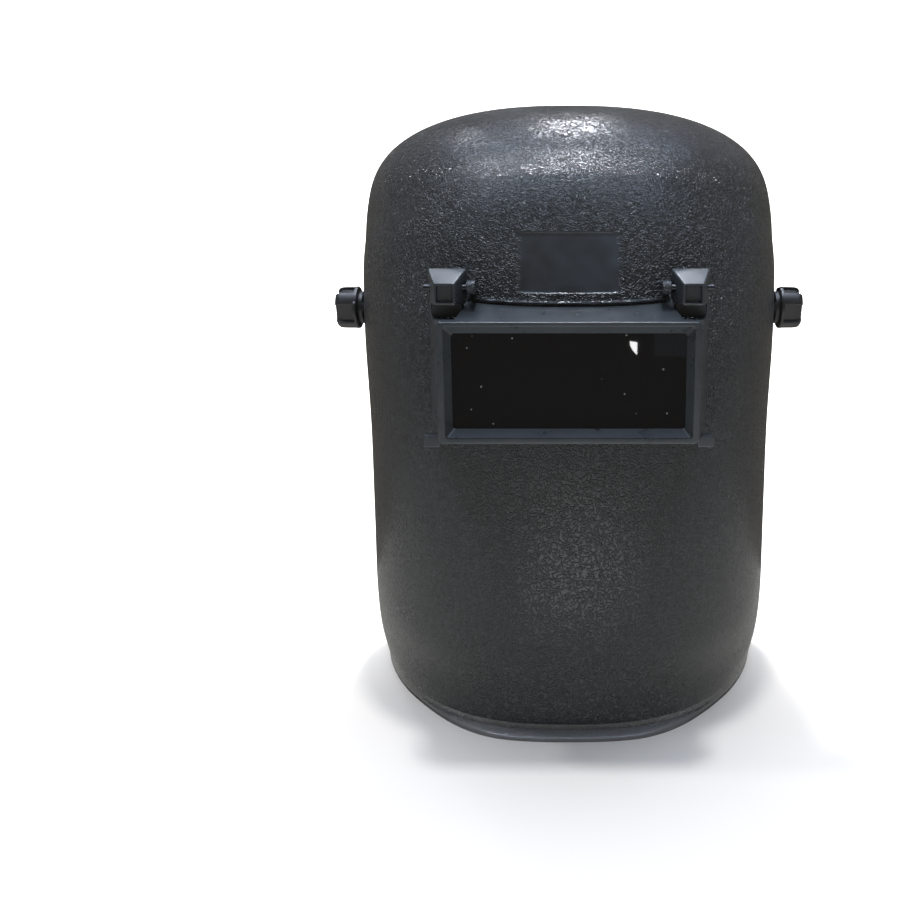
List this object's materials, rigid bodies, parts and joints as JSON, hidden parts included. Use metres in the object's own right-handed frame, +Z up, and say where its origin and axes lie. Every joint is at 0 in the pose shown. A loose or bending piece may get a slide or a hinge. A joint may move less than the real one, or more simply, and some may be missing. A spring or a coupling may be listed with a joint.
{
  "type": "welding helmet",
  "caption": "Lift-front welding helmet: curved face shell with a lip at the chin, hinged lens frame with dark filter, side tightening knobs and head harness.",
  "frame": {"origin": "centre of the bounding box's footprint, on the surface that the helmet stands on", "axes": "+Z up, the lens faces -Y, +X to the right of someone who faces the lens"},
  "size_m": [0.2482, 0.247, 0.298],
  "materials": {
    "shell": "pebble-grained, satin",
    "frame": "smooth moulded, satin",
    "filter": "polished, nearly black",
    "knob": "smooth moulded, semi-gloss",
    "harness": "smooth moulded, matte",
    "steel": "zinc plated"
  },
  "bodies": {
    "shell": {"helmet_shell": "shell", "hinge_pin_left": "steel", "hinge_pin_right": "steel"},
    "lift_front": {"lens_frame": "frame", "filter_glass": "filter", "lens_retainer": "frame", "hinge_block_left": "frame", "hinge_block_right": "frame"},
    "head_harness": {"headband": "harness", "crown_strap": "harness", "pivot_stud_left": "steel", "pivot_stud_right": "steel"},
    "left_knob": {"knob_left": "knob"},
    "right_knob": {"knob_right": "knob"}
  },
  "joints": [
    {"name": "lift_front_hinge", "type": "hinge", "parent": "shell", "child": "lift_front", "pos_m": [0, -0.1085, 0.2112], "axis": [-1, 0, 0], "range_deg": [0, 90]},
    {"name": "harness_tilt", "type": "hinge", "parent": "shell", "child": "head_harness", "pos_m": [0, 0.0045, 0.194], "axis": [1, 0, 0], "range_deg": [0, 65]},
    {"name": "left_knob_turn", "type": "hinge", "parent": "head_harness", "child": "left_knob", "pos_m": [-0.115, 0.0045, 0.194], "axis": [-1, 0, 0], "continuous": true},
    {"name": "right_knob_turn", "type": "hinge", "parent": "head_harness", "child": "right_knob", "pos_m": [0.115, 0.0045, 0.194], "axis": [1, 0, 0], "continuous": true}
  ]
}
